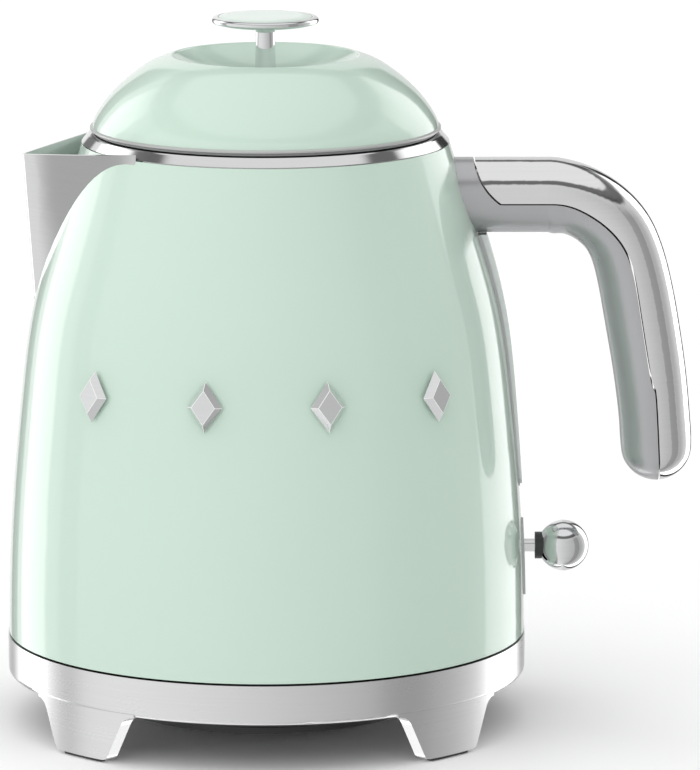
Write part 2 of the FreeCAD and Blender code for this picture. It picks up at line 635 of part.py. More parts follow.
def make_window():
    body = body_solid()
    strip = window_patch(0.0, 1.0, 6.0, WINDOW_LOW, WINDOW_HIGH)
    strip = strip.common(stadium(WINDOW_HALF, WINDOW_LOW, WINDOW_HIGH + WINDOW_HALF, 40, 95)).cut(body)
    plug = window_patch(-1.3, 0.5, 3.0, WINDOW_LOW + 1, WINDOW_HIGH - 1)
    plug = plug.common(stadium(WINDOW_HALF - 1.3, WINDOW_LOW + 3.1, WINDOW_HIGH - 5.1, 40, 95))
    keep("level_window", fuse([strip, plug]))
    frame = window_patch(1.0, 0.28, 6.0, WINDOW_LOW - 1, WINDOW_HIGH)
    frame = frame.common(stadium(WINDOW_HALF + 0.8, WINDOW_LOW - 0.8, WINDOW_HIGH + WINDOW_HALF, 40, 95))
    hole = stadium(WINDOW_HALF + 0.02, WINDOW_LOW - 0.02, WINDOW_HIGH + WINDOW_HALF + 9, 40, 95)
    keep("window_frame", frame.cut(body).cut(hole))
    inside = body_solid(-BODY_WALL - 0.02)
    gasket = window_patch(0.6, 0.0, 2.6, WINDOW_LOW + 1, WINDOW_HIGH - 2).common(inside)
    gasket = gasket.common(stadium(WINDOW_HALF + 0.6, WINDOW_LOW + 1.2, WINDOW_HIGH - 3.2, 40, 95))
    middle = stadium(WINDOW_HALF - 1.28, WINDOW_LOW + 3.08, WINDOW_HIGH - 5.08, 40, 95)
    keep("window_seal", gasket.cut(middle))


def make_slot_plate():
    plate = body_solid(0.6).cut(body_solid())
    plate = plate.common(stadium(SLOT_HALF + 2.6, SLOT_LOW - 3.8, SLOT_HIGH + 3.8, 60, 95))
    keep("lever_slot_plate", plate.cut(stadium(SLOT_HALF, SLOT_LOW, SLOT_HIGH, 60, 95)))


# ---------------------------------------------------------------- handle
def handle_section(x, z, lean, depth, width):
    """An elliptical section across the handle's path; lean is the path's direction in degrees."""
    angle = math.radians(lean + 90)
    ellipse = Part.Ellipse(V(0, width / 2, 0), V(depth / 2, 0, 0), V(0, 0, 0))
    wire = Part.Wire([ellipse.toShape()])
    across, along = V(math.cos(angle), 0, math.sin(angle)), V(0, 1, 0)
    turn = FreeCAD.Rotation(across, along, V(0, 0, 0), "XYZ")
    wire.Placement = FreeCAD.Placement(V(x, 0, z), turn).multiply(wire.Placement)
    return wire


def handle_path():
    """Centre points, directions and depths of the bend and the limb, down to the free end."""
    mid = HANDLE_TOP - HANDLE_ARM / 2
    reach = HANDLE_REACH
    return [(reach - 33.0, mid, 0, HANDLE_ARM), (reach - 26.6, mid - 0.9, -14, HANDLE_ARM - 0.5),
            (reach - 20.8, mid - 3.2, -28, 21.4), (reach - 15.2, mid - 7.4, -43, 21.2),
            (reach - 11.6, mid - 12.0, -56, 21.3), (reach - 9.0, mid - 18.0, -67, 21.5),
            (reach - 7.0, mid - 25.5, -74, 21.8), (reach - 5.3, mid - 34.0, -78, 22.0),
            (reach - 3.9, mid - 42.0, -80.5, 21.95), (reach - 2.6, mid - 50.0, -82.5, 21.8),
            (reach - 1.4, mid - 59.0, -85, 21.6),
            (reach - 0.5, mid - 68.0, -87, 21.4), (reach, HANDLE_END_Z + HANDLE_TIP / 2, -88, HANDLE_TIP)]


def handle_body(inset):
    """The handle's whole outside, or its hollow when inset."""
    path = handle_path()
    sections = [handle_section(x, z, lean, depth - 2 * inset, HANDLE_WIDTH - 2 * inset)
                for x, z, lean, depth in path[:-1]]
    x, z, lean, depth = path[-1]
    tip = depth / 2 - inset
    run, drop = math.cos(math.radians(lean)), math.sin(math.radians(lean))
    for angle in END_ANGLES:
        along, radius = tip * math.sin(math.radians(angle)), tip * math.cos(math.radians(angle))
        sections.append(handle_section(x + along * run, z + along * drop, lean, 2 * radius, 2 * radius))
    limb = Part.makeLoft(sections, True, False)
    bend, mid, _, _ = path[0]
    start = body_radius(mid) - 8.0
    root = Part.Face(handle_section(start, mid, 0, HANDLE_ARM - 2 * inset, HANDLE_WIDTH - 2 * inset))
    arm = root.extrude(V(bend - start, 0, 0))
    return arm.fuse(limb)


def seam_region(shift):
    """The side of the seam that the outer shell lies on, moved outwards by shift."""
    root_top, root_low = body_radius(HANDLE_TOP) + 5.4, body_radius(SEAM_Z) + 9.4
    root = spline([(root_top, HANDLE_TOP + 1.0), (root_top + 2.4, HANDLE_TOP - 6.5), (root_low, SEAM_Z)])
    x, low = HANDLE_REACH, HANDLE_END_Z + 4.0
    corner, seam_end = x - 31.6, x + 0.6
    seam = spline([(corner, SEAM_Z), (x - 22.9, SEAM_Z - 2.3), (x - 11.9, SEAM_Z - 11.3),
                   (x - 6.1, SEAM_Z - 29.2), (x - 1.7, SEAM_Z - 55.0), (seam_end, low)],
                  (1, -0.02), (0.05, -1))
    floor, far, ceiling = low - 15, x + 35, HANDLE_TOP + 15
    edges = [root.toShape(), line((root_low, SEAM_Z), (corner, SEAM_Z)), seam.toShape(),
             line((seam_end, low), (seam_end, floor)), line((seam_end, floor), (far, floor)),
             line((far, floor), (far, ceiling)), line((far, ceiling), (root_top, ceiling)),
             line((root_top, ceiling), (root_top, HANDLE_TOP + 1.0))]
    face = Part.Face(Part.Wire(edges))
    face.translate(V(shift, -30, shift))
    return face.extrude(V(0, 60, 0))


BRACKET_END = 84.0


def make_handle():
    whole = handle_body(0.0)
    skin = whole.cut(handle_body(HANDLE_WALL)).cut(body_solid())
    outer = skin.common(seam_region(SEAM_GAP))
    inner = skin.cut(seam_region(0.0)).common(block(50, 150, -30, 30, 60, 190))
    keep("handle_shell", sorted(outer.Solids, key=lambda s: s.Volume)[-1])
    keep("handle_inner", sorted(inner.Solids, key=lambda s: s.Volume)[-1])
    low, high = HANDLE_SCREWS[0] - 1.6, HANDLE_SCREWS[1] + 1.6
    arm = HANDLE_TOP - HANDLE_ARM / 2
    foot = block(55, body_radius(low) + 3.5, -5, 5, low, high).cut(body_solid())
    beam = block(body_radius(arm) + 1, BRACKET_END, -5, 5, arm - 2, arm + 2)
    bracket = fuse([foot, beam])
    for z in HANDLE_SCREWS:
        bracket = bracket.cut(bar(SCREW_R, 40, body_radius(z) + 2.5, z))
    hollow = handle_body(HANDLE_WALL + 0.02)
    keep("handle_bracket", bracket.common(hollow))
    screws = []
    for z in HANDLE_SCREWS:
        r = body_radius(z)
        head = bar(HEAD_R, r - BODY_WALL - HEAD_H - 1.2, r - BODY_WALL - 1.2, z)
        screws.append(fuse([bar(SCREW_R, r - BODY_WALL - 2, r + 2.4, z), head]))
    keep("handle_screws", Part.makeCompound(screws))


# ---------------------------------------------------------------- studs on the front
def make_studs():
    """Four plain lozenges with a bevelled edge, bedded on the curved front."""
    skin = body_solid(STUD_PROUD).cut(body_solid())
    studs = []
    for angle in STUD_ANGLES:
        r = body_radius(STUD_Z)
        outline = [V(r - 8, -STUD_HALF_W, STUD_Z), V(r - 8, 0, STUD_Z - STUD_HALF_H),
                   V(r - 8, STUD_HALF_W, STUD_Z), V(r - 8, 0, STUD_Z + STUD_HALF_H)]
        prism = Part.Face(Part.makePolygon(outline + outline[:1])).extrude(V(16, 0, 0))
        prism.rotate(V(0, 0, 0), Z_AXIS, -90 + angle)
        studs.append(skin.common(prism).Solids[0])
    keep("front_studs", Part.makeCompound(studs))


# ---------------------------------------------------------------- lid
RIM_Z = LID_LOW + RIM_RISE
FLANGE_LOW = NECK_Z + COLLAR_H + LID_GAP
BEAD_LOW = LID_LOW - 1.1
BRACKET_Z = RIM_Z - BOWL_DEPTH - 6.0


def dome_points(inset):
    """The lid's outline from its lower edge to the rim of the bowl."""
    return [(LID_R - inset, LID_LOW), (LID_R - 1.5 - inset, LID_LOW + 3.7),
            (LID_SHOULDER[0] - inset * 0.8, LID_LOW + LID_SHOULDER[1] - inset * 0.6),
            (LID_CROWN[0] - inset * 0.5, LID_LOW + LID_CROWN[1] - inset * 0.85),
            (RIM_R - inset * 0.1, RIM_Z - inset)]


def make_lid():
    bowl_r = (RIM_R ** 2 + BOWL_DEPTH ** 2) / (2 * BOWL_DEPTH)
    half = bowl_r - math.sqrt(bowl_r ** 2 - (RIM_R / 2) ** 2)
    low = RIM_Z - BOWL_DEPTH

    def bowl(drop, r, z):
        return Part.Arc(V(r, 0, z), V(RIM_R / 2, 0, low + half - drop), V(0, 0, low - drop)).toShape()

    outer = spline(dome_points(0), (-0.15, 1), (-1, 0.28)).toShape()
    inner = spline(dome_points(LID_WALL), (-0.15, 1), (-1, 0.28)).toShape()
    top, under = dome_points(0)[-1], dome_points(LID_WALL)[-1]
    roll = 0.5
    top_in = (RIM_R - roll * 2, RIM_Z - 0.35)
    crest = Part.Arc(V(top[0], 0, top[1]), V(RIM_R - roll, 0, RIM_Z + 0.02),
                     V(top_in[0], 0, top_in[1])).toShape()
    bottom_in = (RIM_R - 2.2, under[1] - 0.9)
    dome = lathe_edges([outer, crest, bowl(0, *top_in), line((0, low), (0, low - LID_WALL)),
                        bowl(LID_WALL, *bottom_in), line(bottom_in, under), inner,
                        line(dome_points(LID_WALL)[0], dome_points(0)[0])])
    keep("lid_dome", dome.cut(cyl(2.0, low - 5, low + 5)))

    bead_r = LID_R + 0.7
    keep("lid_bead", lathe([(bead_r - 0.5, BEAD_LOW), (bead_r, BEAD_LOW + 0.3), (bead_r, LID_LOW - 0.3),
                            (bead_r - 0.5, LID_LOW), (LID_R - LID_WALL - 1.5, LID_LOW),
                            (LID_R - LID_WALL - 1.5, BEAD_LOW)]))
    cup_low = NECK_Z + COLLAR_H - CUP_DEPTH
    cup = lathe([(LID_R - 0.6, FLANGE_LOW), (LID_R - 0.6, BEAD_LOW), (CUP_R - CUP_WALL, BEAD_LOW),
                 (CUP_R - CUP_WALL, cup_low + CUP_WALL), (0, cup_low + CUP_WALL), (0, cup_low),
                 (CUP_R, cup_low), (CUP_R, FLANGE_LOW)])
    vents = ring_of(cyl(2.0, cup_low - 1, cup_low + 3, 30), range(0, 360, 30))
    posts_at = (60, 180, 300)
    holes = ring_of(cyl(SCREW_R + 0.1, cup_low - 1, cup_low + 3, 18), posts_at)
    keep("lid_cup", cup.cut(vents).cut(holes))
    seal_low = cup_low + 3
    lip_r = SLEEVE_R - 0.35
    keep("lid_seal", lathe([(CUP_R, seal_low), (lip_r, seal_low + 0.6), (CUP_R + 0.5, seal_low + 1.6),
                            (lip_r, seal_low + 2.2), (CUP_R + 0.5, seal_low + 3.2),
                            (CUP_R, seal_low + 3.2)]))
    bracket = [cyl(22, BRACKET_Z, BRACKET_Z + 1.5)]
    bracket += ring_of(cyl(3.4, cup_low + CUP_WALL, BRACKET_Z, 18), posts_at).Solids
    bracket = fuse(bracket).cut(cyl(2.0, BRACKET_Z - 1, BRACKET_Z + 3))
    bracket = bracket.cut(ring_of(cyl(SCREW_R, cup_low, BRACKET_Z - 2, 18), posts_at))
    keep("lid_bracket", bracket)
    keep("lid_screws", ring_of(screw(18, 0, cup_low, BRACKET_Z - 4), posts_at))

    flange_r = STEM_R + STEM_FLARE + 1.4
    stem_z = low + bowl_r - math.sqrt(bowl_r ** 2 - flange_r ** 2)
    stem = lathe([(0, stem_z), (flange_r, stem_z), (flange_r, stem_z + 0.7),
                  (STEM_R + STEM_FLARE, stem_z + 1.2), (STEM_R, KNOB_LOW - 2.0), (STEM_R + 0.9, KNOB_LOW),
                  (0, KNOB_LOW)])
    stem = fuse([stem, cyl(1.95, BRACKET_Z - 4, stem_z + 1)])
    keep("knob_stem", stem)
    spacer_top = low - LID_WALL
    turns = [math.radians(60 * n) for n in range(7)]
    hexagon = [V(3.6 * math.cos(turn), 3.6 * math.sin(turn), BRACKET_Z - 3.2) for turn in turns]
    nut = Part.Face(Part.makePolygon(hexagon)).extrude(V(0, 0, 3.2))
    nut = nut.cut(cyl(1.98, BRACKET_Z - 5, BRACKET_Z + 1))
    keep("knob_nut", Part.makeCompound([tube(1.98, 4.5, BRACKET_Z + 1.5, spacer_top), nut]))
    edge = 0.9
    disc = lathe([(0, KNOB_LOW), (KNOB_R - 1.6, KNOB_LOW), (KNOB_R - edge * 0.4, KNOB_LOW + 0.5),
                  (KNOB_R, KNOB_LOW + KNOB_T * 0.5), (KNOB_R - edge * 0.4, KNOB_LOW + KNOB_T - 0.35),
                  (KNOB_R - 1.3, KNOB_LOW + KNOB_T), (INSET_R, KNOB_LOW + KNOB_T),
                  (INSET_R, KNOB_LOW + KNOB_T - 0.9), (0, KNOB_LOW + KNOB_T - 0.9)])
    keep("knob_disc", disc)
    inset_low = KNOB_LOW + KNOB_T - 0.9
    keep("knob_inset", lathe([(0, inset_low), (INSET_R - 0.05, inset_low), (INSET_R - 0.05, inset_low + 1.0),
                              (INSET_R - 1.2, inset_low + 1.15), (0, inset_low + 1.3)]))


def main():
    make_power_base()
    make_body()
    make_spout()
    make_filter()
    make_heater()
    make_switch()
    make_lever()
    make_bottom()
    make_window()
    make_slot_plate()
    make_handle()
    make_studs()
    make_lid()
    os.makedirs("parts", exist_ok=True)
    for name, shape in PIECES.items():
        box = shape.BoundBox
        print(f"{name:18s} solids {len(shape.Solids)} valid {shape.isValid()} volume {shape.Volume:10.1f}"
              f"  x {box.XMin:7.1f} {box.XMax:7.1f}  y {box.YMin:6.1f} {box.YMax:6.1f}"
              f"  z {box.ZMin:6.1f} {box.ZMax:6.1f}")
        shape.exportStep(f"parts/{name}.step")


main()
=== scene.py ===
# %% [markdown]
# # A mint jug kettle, finished for a studio picture
# The engineering model arrives as a fixed frame: every solid is already in its place, in metres,
# with z upwards and the spout on the -x side. This lesson keeps most of those solids, gives each
# a finish of its own, and makes the turned and repeated pieces again, finer, with Geometry Nodes.

# %% Load the frame
import math

import bmesh
import bpy
from mathutils import Matrix, Vector


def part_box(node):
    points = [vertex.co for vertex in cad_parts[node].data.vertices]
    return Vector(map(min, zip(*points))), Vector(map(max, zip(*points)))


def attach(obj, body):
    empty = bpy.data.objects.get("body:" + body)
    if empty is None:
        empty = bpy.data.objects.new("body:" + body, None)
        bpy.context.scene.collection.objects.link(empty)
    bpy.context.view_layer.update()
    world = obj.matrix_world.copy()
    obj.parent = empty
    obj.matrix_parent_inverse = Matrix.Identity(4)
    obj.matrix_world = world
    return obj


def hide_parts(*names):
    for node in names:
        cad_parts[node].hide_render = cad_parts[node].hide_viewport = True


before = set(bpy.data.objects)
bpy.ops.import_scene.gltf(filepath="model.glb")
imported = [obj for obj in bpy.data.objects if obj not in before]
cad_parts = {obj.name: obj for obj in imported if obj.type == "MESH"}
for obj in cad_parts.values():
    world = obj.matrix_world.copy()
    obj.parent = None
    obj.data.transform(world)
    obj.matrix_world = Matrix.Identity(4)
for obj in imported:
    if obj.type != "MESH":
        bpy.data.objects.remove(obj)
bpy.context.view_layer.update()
MM = 0.001

# %% [markdown]
# ## Camera
# A product picture of a whole kettle is taken from far away with a long lens, so that the lid and
# the base are seen from nearly the same height. Here the camera stands two metres in front, a
# little over the knob, and looks down by about ten degrees.

# %% Place the camera
LENS_MM = 317.92
SENSOR_MM = 36.0
CAMERA_AT = (0.02516, -2.0055, 0.47666)
LOOK_DOWN = 0.185

camera_data = bpy.data.cameras.new("studio_camera")
camera_data.lens = LENS_MM
camera_data.sensor_width = SENSOR_MM
camera_data.clip_end = 50
camera = bpy.data.objects.new("studio_camera", camera_data)
camera.location = CAMERA_AT
camera.rotation_euler = (math.pi / 2 - LOOK_DOWN, 0, 0)
bpy.context.scene.collection.objects.link(camera)
bpy.context.scene.camera = camera
bpy.context.scene.view_settings.view_transform = "Standard"
print("camera:", LENS_MM, "mm lens,", round(math.degrees(LOOK_DOWN), 1), "degrees down")


# %% [markdown]
# ## A small language for node trees
# Shader maths is easier to read as Python than as thirty lines of links. `Wire` wraps one socket,
# and adding, taking away or multiplying wires makes the Math nodes. `Tree.node` makes any other
# node: its type, its settings, then the values or wires that its sockets take.

# %% Wires and trees
class Wire:
    """One output socket. Arithmetic on it adds Math nodes to its tree."""

    def __init__(self, tree, socket):
        self.tree = tree
        self.socket = socket

    def __add__(self, other):
        return self.tree.sum("ADD", self, other)

    def __sub__(self, other):
        return self.tree.sum("SUBTRACT", self, other)

    def __rsub__(self, other):
        return self.tree.sum("SUBTRACT", other, self)

    def __mul__(self, other):
        return self.tree.sum("MULTIPLY", self, other)

    def __truediv__(self, other):
        return self.tree.sum("DIVIDE", self, other)

    __radd__ = __add__
    __rmul__ = __mul__


class Tree:
    """A node tree that is written as expressions."""

    def __init__(self, node_tree):
        self.nodes = node_tree.nodes
        self.links = node_tree.links

    def node(self, kind, settings=None, sockets=None, out=0):
        made = self.nodes.new(kind)
        for name, value in (settings or {}).items():
            if name == "stops":
                self.set_stops(made.color_ramp, value)
            else:
                setattr(made, name, value)
        for name, value in (sockets or {}).items():
            self.feed(made.inputs[name], value)
        return Wire(self, made.outputs[out]) if made.outputs else made

    def set_stops(self, ramp, stops):
        while len(ramp.elements) < len(stops):
            ramp.elements.new(0.5)
        for element, (position, colour) in zip(ramp.elements, stops):
            element.position = position
            element.color = colour

    def feed(self, socket, value):
        if isinstance(value, Wire):
            self.links.new(value.socket, socket)
        else:
            socket.default_value = value

    def sum(self, operation, first, second=0.0):
        return self.node("ShaderNodeMath", {"operation": operation}, {0: first, 1: second})


# %% [markdown]
# ## What every finish shares
# A finish is a Principled shader. Numbers that hold over the whole piece go straight onto its
# sockets; only what changes over the surface (a colour shift, a roughness smudge, a bump) gets a
# wire. All patterns read Object coordinates, which are metres, so a scale of 900 is about a
# millimetre, and the size of a grain is the size it has on the real thing.

# %% The Finish class
class Finish(Tree):
    """A material with a Principled shader and a few patterns to draw on it."""

    def __init__(self, name, colour, **constants):
        self.material = bpy.data.materials.new(name)
        self.material.use_nodes = True
        super().__init__(self.material.node_tree)
        self.nodes.clear()
        self.shader = self.nodes.new("ShaderNodeBsdfPrincipled")
        self.output = self.nodes.new("ShaderNodeOutputMaterial")
        self.links.new(self.shader.outputs[0], self.output.inputs["Surface"])
        self.colour = (*colour, 1.0)
        self.set("Base Color", self.colour)
        for name, value in constants.items():
            self.set(name.replace("_", " "), value)
        self.material.diffuse_color = self.colour

    def set(self, socket, value):
        self.feed(self.shader.inputs[socket], value)

    def place(self, stretch=(1, 1, 1)):
        coordinates = self.node("ShaderNodeTexCoord", out="Object")
        return self.node("ShaderNodeMapping", {}, {"Vector": coordinates, "Scale": stretch})

    def noise(self, scale, detail=3.0, stretch=(1, 1, 1), roughness=0.5):
        sockets = {"Vector": self.place(stretch), "Scale": scale, "Detail": detail, "Roughness": roughness}
        return self.node("ShaderNodeTexNoise", {}, sockets)

    def vary_colour(self, pattern, other):
        mixed = self.node("ShaderNodeMix", {"data_type": "RGBA"},
                          {0: pattern, 6: self.colour, 7: (*other, 1.0)}, out=2)
        self.set("Base Color", mixed)

    def vary_roughness(self, pattern, low, high):
        self.set("Roughness", low + pattern * (high - low))

    def bump(self, height, strength, depth):
        self.set("Normal", self.node("ShaderNodeBump", {}, {"Height": height, "Strength": strength,
                                                            "Distance": depth}))


# %% [markdown]
# ## Mint enamel
# The body, the lid and the little disc on the knob are sprayed steel under a clear gloss coat.
# Spray paint dries with orange peel: shallow waves a few millimetres long that make reflections
# swim slightly. A clear coat over a slightly rougher colour gives the double reflection of real
# lacquer. The colour drifts by a percent or so, as pigment does.

# %% Make the enamel
def make_enamel():
    enamel = Finish("mint_enamel", (0.545, 0.690, 0.595), Coat_Weight=1.0, Coat_Roughness=0.035,
                    Coat_IOR=1.5, Specular_IOR_Level=0.35)
    drift = enamel.noise(14.0, 2.0)
    enamel.vary_colour(drift, (0.527, 0.672, 0.577))
    enamel.vary_roughness(enamel.noise(60.0, 4.0), 0.26, 0.36)
    peel = enamel.noise(210.0, 1.0)
    enamel.bump(peel, 0.035, 0.00035)
    return enamel.material


# %% [markdown]
# ## Metals
# Four metals are in sight: a satin base, a polished spout, bright chrome and the handle's dull
# inner half. Satin metal is brushed round the object, so its lines run level; a noise squeezed
# hard along z draws them. Polished steel keeps a trace of the same lines, and smudges that change
# only the roughness. One recipe with a few numbers makes them all.

# %% Make a brushed or polished metal
def make_metal(name, tone, low, high, lines=0.0, other=None):
    metal = Finish(name, tone, Metallic=1.0, Specular_IOR_Level=0.5)
    smudge = metal.noise(38.0, 5.0)
    grain = metal.noise(26.0, 2.0, stretch=(1, 1, 70))
    metal.vary_roughness(smudge * 0.6 + grain * 0.4, low, high)
    metal.vary_colour(grain, other or [channel * 0.94 for channel in tone])
    if lines:
        metal.bump(grain, lines, 0.00006)
    return metal.material


# %% [markdown]
# ## Plastics and rubbers
# Moulded plastic takes the fine spark-eroded grain of its mould: tiny pits, about a third of a
# millimetre apart. Rubber is the same idea with a duller, dustier surface. A Voronoi pattern
# would give sharp cells; noise is softer and closer to the real texture.

# %% Make a moulded finish
def make_moulded(name, tone, low, high, grain=0.12, scale=2600.0, **constants):
    plastic = Finish(name, tone, **constants)
    cloud = plastic.noise(45.0, 3.0)
    plastic.vary_colour(cloud, [min(1.0, channel * 1.12 + 0.004) for channel in tone])
    plastic.vary_roughness(cloud, low, high)
    plastic.bump(plastic.noise(scale, 1.0), grain, 0.00005)
    return plastic.material


# %% The whole palette
FINISHES = {
    "mint_paint": make_enamel(),
    "satin_metal": make_metal("satin_base_metal", (0.79, 0.79, 0.79), 0.24, 0.32, 0.05),
    "polished_steel": make_metal("polished_spout_steel", (0.72, 0.72, 0.725), 0.05, 0.11, 0.01),
    "polished_handle": make_metal("polished_handle_metal", (0.80, 0.80, 0.805), 0.04, 0.09, 0.008),
    "brushed_steel": make_metal("brushed_steel", (0.62, 0.62, 0.62), 0.24, 0.36, 0.12),
    "chrome": make_metal("bright_chrome", (0.76, 0.765, 0.77), 0.03, 0.07),
    "screw_steel": make_metal("plated_screw_steel", (0.55, 0.55, 0.54), 0.22, 0.38, 0.05),
    "contact_brass": make_metal("contact_brass", (0.76, 0.58, 0.30), 0.18, 0.32, 0.05, (0.64, 0.46, 0.22)),
    "aluminium": make_metal("pressed_aluminium", (0.70, 0.70, 0.71), 0.30, 0.45, 0.08),
    "element_sheath": make_metal("heated_element_sheath", (0.42, 0.38, 0.33), 0.30, 0.50, 0.1,
                                 (0.30, 0.24, 0.22)),
    "satin_grey": make_moulded("satin_grey_lacquer", (0.43, 0.43, 0.44), 0.24, 0.33, 0.05, Metallic=0.75),
    "window_trim": make_moulded("window_trim_grey", (0.42, 0.43, 0.43), 0.25, 0.34, 0.05, Metallic=0.5),
    "bead_grey": make_moulded("lid_bead_grey", (0.46, 0.47, 0.46), 0.30, 0.40, 0.06, Metallic=0.4),
    "grey_plastic": make_moulded("lid_cup_grey", (0.34, 0.35, 0.35), 0.38, 0.48),
    "black_plastic": make_moulded("black_moulding", (0.018, 0.018, 0.019), 0.34, 0.46),
    "pale_plastic": make_moulded("pale_moulding", (0.74, 0.74, 0.72), 0.32, 0.42),
    "foot_rubber": make_moulded("foot_rubber", (0.035, 0.035, 0.036), 0.62, 0.78, 0.25, 1500.0),
    "silicone": make_moulded("seal_silicone", (0.58, 0.59, 0.58), 0.42, 0.55, 0.06,
                             Subsurface_Weight=0.1),
    "clear_window": make_moulded("milky_window", (0.80, 0.86, 0.83), 0.10, 0.16, 0.02,
                                 Transmission_Weight=0.35, IOR=1.5),
}
for node_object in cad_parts.values():
    for material_slot in node_object.material_slots:
        finish = FINISHES.get(material_slot.material.name.split(".")[0])
        if finish is None:
            print("no finish for", node_object.name, material_slot.material.name)
        else:
            material_slot.material = finish
print("finishes:", len(FINISHES))


# %% [markdown]
# ## Turned pieces, by rule
# The lid's knob, its stem, the ball on the lever and the rings at the neck are all turned: one
# outline, spun round an axis. Blender's Spin or Screw would do it, and so would a lathe written
# in mesh code. Geometry Nodes do it as a rule that can be reused: the object holds only the
# outline, and the tree lays a grid over it, then wraps the grid round the axis. The number of
# steps round is a named input.

# %% Helpers for Geometry Nodes
def start_tree(name, inputs):
    """A geometry tree with a geometry input and named inputs, each with a type."""
    group = bpy.data.node_groups.new(name, "GeometryNodeTree")
    group.interface.new_socket("Outline", in_out="INPUT", socket_type="NodeSocketGeometry")
    for label, kind in inputs:
        group.interface.new_socket(label, in_out="INPUT", socket_type=kind)
    group.interface.new_socket("Piece", in_out="OUTPUT", socket_type="NodeSocketGeometry")
    tree = Tree(group)
    entry = group.nodes.new("NodeGroupInput")
    wires = {socket.name: Wire(tree, socket) for socket in entry.outputs if socket.name}
    return group, tree, wires


def end_tree(group, tree, geometry, material):
    real = tree.node("GeometryNodeRealizeInstances", {}, {"Geometry": geometry})
    dressed = tree.node("GeometryNodeSetMaterial", {}, {"Geometry": real, "Material": material})
    leave = group.nodes.new("NodeGroupOutput")
    tree.links.new(dressed.socket, leave.inputs["Piece"])


def run_tree(name, mesh, group, values):
    """Evaluates the tree on a mesh and returns a plain object with the result."""
    holder = bpy.data.objects.new(name, mesh)
    bpy.context.scene.collection.objects.link(holder)
    modifier = holder.modifiers.new("rule", "NODES")
    modifier.node_group = group
    for item in group.interface.items_tree:
        if item.in_out == "INPUT" and item.name in values:
            modifier[item.identifier] = values[item.name]
    graph = bpy.context.evaluated_depsgraph_get()
    result = bpy.data.meshes.new_from_object(holder.evaluated_get(graph))
    holder.modifiers.remove(modifier)
    holder.data = result
    result.name = name
    print(name + ":", len(result.polygons), "faces")
    return holder


# %% The turning tree
turning, tree, wires = start_tree("turn_outline", [("Steps", "NodeSocketInt"),
                                                   ("Finish", "NodeSocketMaterial")])
count = tree.node("GeometryNodeAttributeDomainSize", {"component": "MESH"}, {"Geometry": wires["Outline"]})
across = wires["Steps"] + 1
grid = tree.node("GeometryNodeMeshGrid", {}, {"Size X": 1.0, "Size Y": 1.0, "Vertices X": count,
                                             "Vertices Y": across})
index = tree.node("GeometryNodeInputIndex")
row = tree.sum("FLOOR", (index + 0.25) / across)
step = index - row * across
position = tree.node("GeometryNodeInputPosition")
sampled = tree.node("GeometryNodeSampleIndex", {"data_type": "FLOAT_VECTOR"},
                    {"Geometry": wires["Outline"], "Value": position, "Index": row})
parts = tree.node("ShaderNodeSeparateXYZ", {}, {0: sampled}).socket.node
radius, height = Wire(tree, parts.outputs["X"]), Wire(tree, parts.outputs["Z"])
angle = step / wires["Steps"] * math.tau
spot = tree.node("ShaderNodeCombineXYZ", {}, {"X": radius * tree.sum("COSINE", angle),
                                             "Y": radius * tree.sum("SINE", angle), "Z": height})
wrapped = tree.node("GeometryNodeSetPosition", {}, {"Geometry": grid, "Position": spot})
closed = tree.node("GeometryNodeMergeByDistance", {}, {"Geometry": wrapped, "Distance": 2e-6})
smooth = tree.node("GeometryNodeSetShadeSmooth", {}, {"Geometry": closed, "Shade Smooth": True})
end_tree(turning, tree, smooth, wires["Finish"])
print("turning tree:", len(turning.nodes), "nodes")


# %% [markdown]
# An outline drawn with a few corners would turn into a faceted piece. `rounded` first cuts every
# corner by the radius given for it, with a short arc in its place, which is also where light
# catches on a real edge.

# %% Outlines and their corners
def rounded(corners, steps=5):
    """Corners are (radius from the axis, height, rounding), all in millimetres."""
    points = []
    for number, (x, z, rounding) in enumerate(corners):
        here = Vector((x, z))
        if rounding == 0 or number in (0, len(corners) - 1):
            points.append(here)
            continue
        before = Vector(corners[number - 1][:2]) - here
        after = Vector(corners[number + 1][:2]) - here
        reach = min(rounding, before.length * 0.49, after.length * 0.49)
        start, finish = here + before.normalized() * reach, here + after.normalized() * reach
        for part in range(steps + 1):
            t = part / steps
            points.append(start * (1 - t) ** 2 + here * 2 * t * (1 - t) + finish * t ** 2)
    return points


def outline_mesh(name, points):
    mesh = bpy.data.meshes.new(name)
    edges = [(n, n + 1) for n in range(len(points) - 1)]
    mesh.from_pydata([(point[0] * MM, 0, point[1] * MM) for point in points], edges, [])
    return mesh


def tidy(piece, sharp=40.0):
    """Welds a piece, turns its faces outwards and marks its sharp edges."""
    work = bmesh.new()
    work.from_mesh(piece.data)
    bmesh.ops.remove_doubles(work, verts=work.verts, dist=1e-6)
    bmesh.ops.dissolve_degenerate(work, edges=work.edges, dist=1e-7)
    bmesh.ops.recalc_face_normals(work, faces=work.faces)
    for edge in work.edges:
        edge.smooth = len(edge.link_faces) == 2 and edge.calc_face_angle(0) < math.radians(sharp)
    for face in work.faces:
        face.smooth = True
    work.to_mesh(piece.data)
    work.free()
    return piece


def turn(name, points, finish, body, node, steps=144):
    """Turns an outline about the z axis and puts it in place of its solid."""
    piece = run_tree(name, outline_mesh(name, points), turning, {"Steps": steps, "Finish": finish})
    tidy(piece)
    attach(piece, body)
    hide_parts(node)
    return piece


# %% [markdown]
# ## The knob
# The knob is a chrome dish with a mint disc let into its top, on a stem that flares at its foot.
# All its heights come from the solids in the frame, so the finer pieces land exactly on them.

